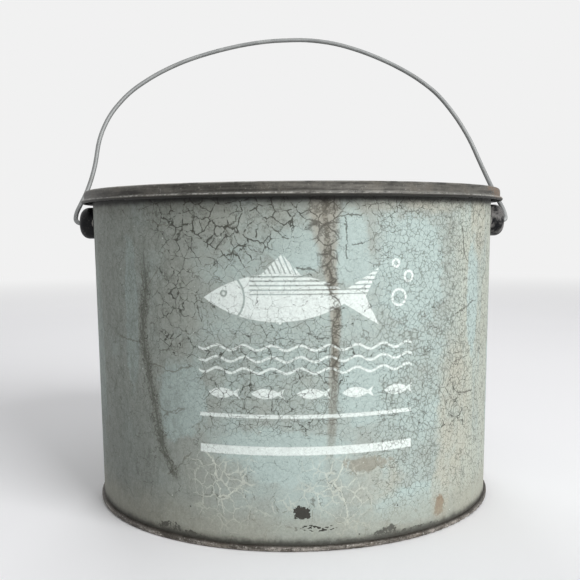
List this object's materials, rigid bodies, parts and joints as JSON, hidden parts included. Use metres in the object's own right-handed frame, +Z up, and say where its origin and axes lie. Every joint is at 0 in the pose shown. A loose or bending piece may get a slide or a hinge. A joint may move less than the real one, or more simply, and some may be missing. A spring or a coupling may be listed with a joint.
{
  "type": "minnow bucket",
  "caption": "Round floating bait bucket: painted outer pail with a wire bail, and a lift-out perforated inner bucket with a sealed float, a sprung hatch lid and a folding handle.",
  "frame": {"origin": "centre of the bottom seam's resting face, on the table", "axes": "+Z up along the bucket's axis, -Y the front, +X the right-hand bail ear"},
  "size_m": [0.2866, 0.269, 0.3044],
  "materials": {
    "pail_paint": "old crackled satin paint, pale grey-green",
    "hem_metal": "worn bare seam, dull",
    "cover_metal": "tarnished dark band with rust at one end",
    "galvanised_sheet": "dull galvanised sheet",
    "galvanised_wire": "dull galvanised wire",
    "ear_enamel": "black enamel, half gloss",
    "rivet_metal": "dull",
    "spring_steel": "dark spring wire"
  },
  "bodies": {
    "pail": {"pail_wall": "pail_paint", "pail_bottom": "hem_metal", "pail_rim_wire": "galvanised_wire", "ear_left": "ear_enamel", "ear_right": "ear_enamel", "ear_rivets": "rivet_metal"},
    "bail": {"bail_wire": "galvanised_wire"},
    "inner_bucket": {"cover_deck": "cover_metal", "basket_wall": "galvanised_sheet", "basket_bottom": "galvanised_sheet", "float_pan": "galvanised_sheet", "hatch_neck": "galvanised_sheet", "hinge_bracket": "galvanised_sheet", "hinge_pin": "galvanised_wire", "hinge_rivets": "rivet_metal", "lid_spring": "spring_steel", "handle_saddles": "galvanised_sheet", "handle_rivets": "rivet_metal"},
    "lid": {"lid_plate": "galvanised_sheet", "lid_hinge_leaf": "galvanised_sheet", "lid_rivets": "rivet_metal"},
    "handle": {"handle_wire": "galvanised_wire"}
  },
  "joints": [
    {"name": "bail_swing", "type": "hinge", "parent": "pail", "child": "bail", "pos_m": [0, 0, 0.174], "axis": [1, 0, 0], "range_deg": [-90, 135]},
    {"name": "inner_lift", "type": "slide", "parent": "pail", "child": "inner_bucket", "axis": [0, 0, 1], "range_m": [0, 0.012]},
    {"name": "lid_hinge", "type": "hinge", "parent": "inner_bucket", "child": "lid", "pos_m": [0, 0.0502, 0.19514], "axis": [-1, 0, 0], "range_deg": [0, 110], "stiffness_Nm_per_rad": 0.05, "springref_deg": -34.38, "deforming": ["lid_spring"]},
    {"name": "handle_swing", "type": "hinge", "parent": "inner_bucket", "child": "handle", "pos_m": [0, 0, 0.1898], "axis": [-1, 0, 0], "range_deg": [0, 180]}
  ]
}
